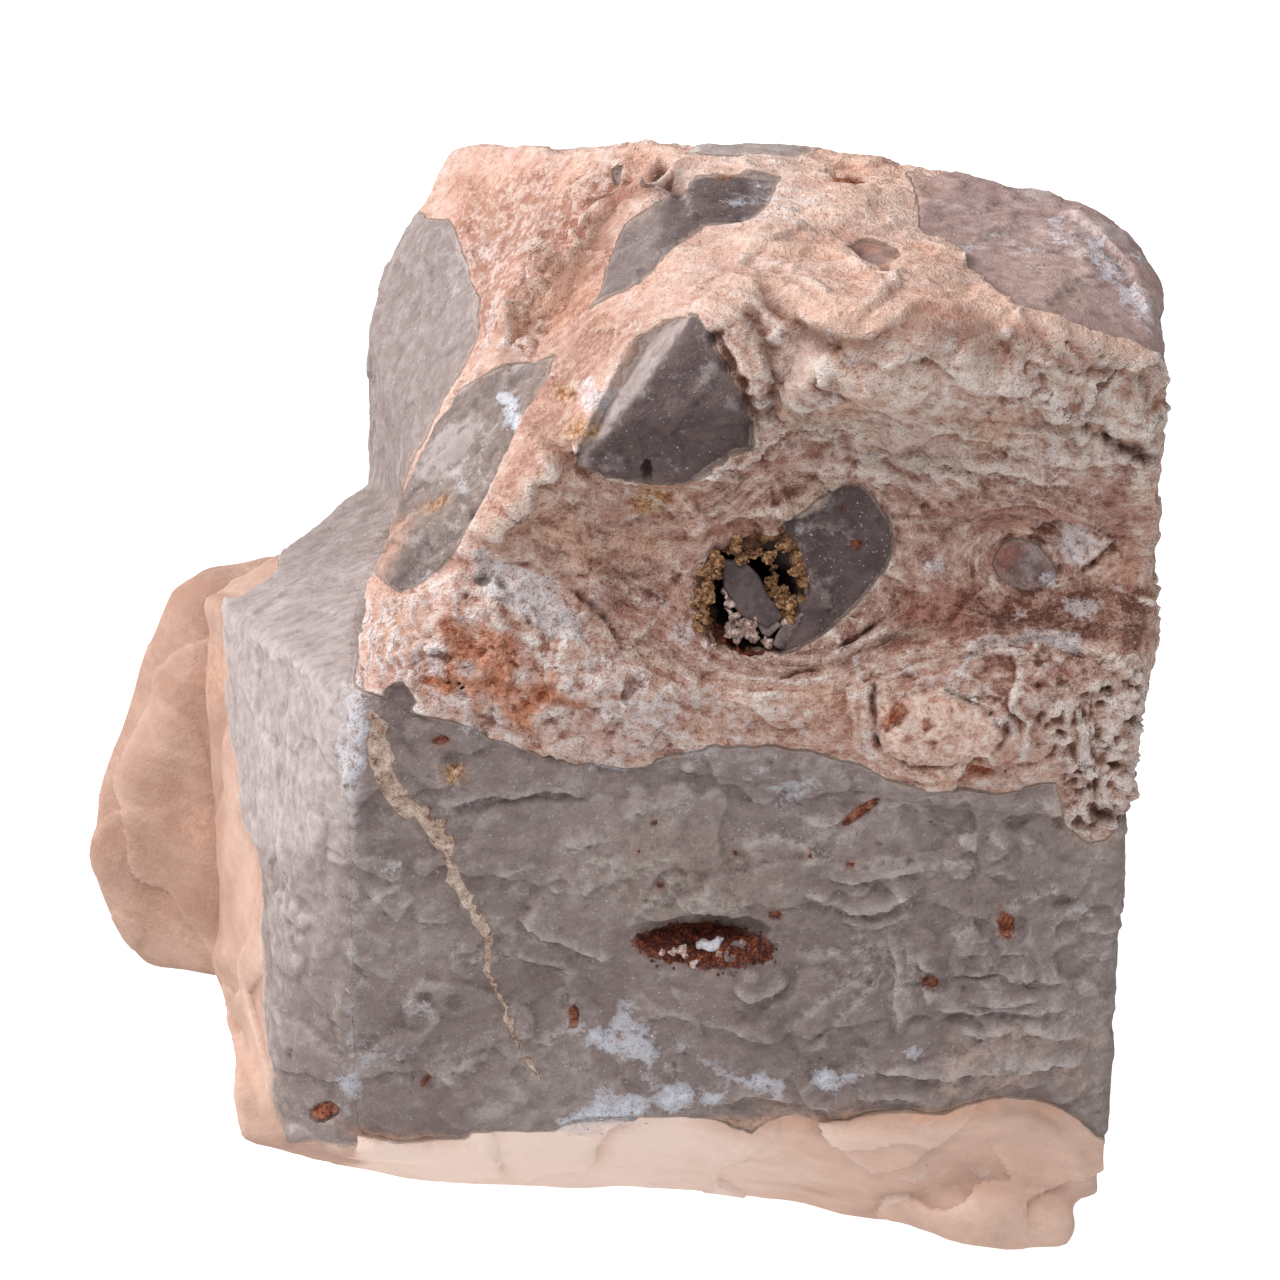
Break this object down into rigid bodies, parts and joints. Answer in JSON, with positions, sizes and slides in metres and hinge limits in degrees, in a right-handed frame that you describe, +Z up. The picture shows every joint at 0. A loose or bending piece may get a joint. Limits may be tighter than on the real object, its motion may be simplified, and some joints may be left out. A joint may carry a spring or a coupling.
{
  "type": "leopardite stone",
  "caption": "Rough broken piece of leopardite: a grey jasper bed under a peach flow-banded matrix with grey clasts and small vugs, lying on a small flat spot",
  "frame": {"origin": "middle of the stone's box, at the height of the surface that it lies on", "axes": "+Z up; +X along the broken front wall, to the right when facing it; +Y away from that wall, to the back"},
  "size_m": [0.0422, 0.0338, 0.0393],
  "materials": {
    "stone": "dull broken rock, grey jasper with a peach and pink-brown banded matrix"
  },
  "bodies": {
    "root": {"stone": "stone"}
  },
  "joints": []
}
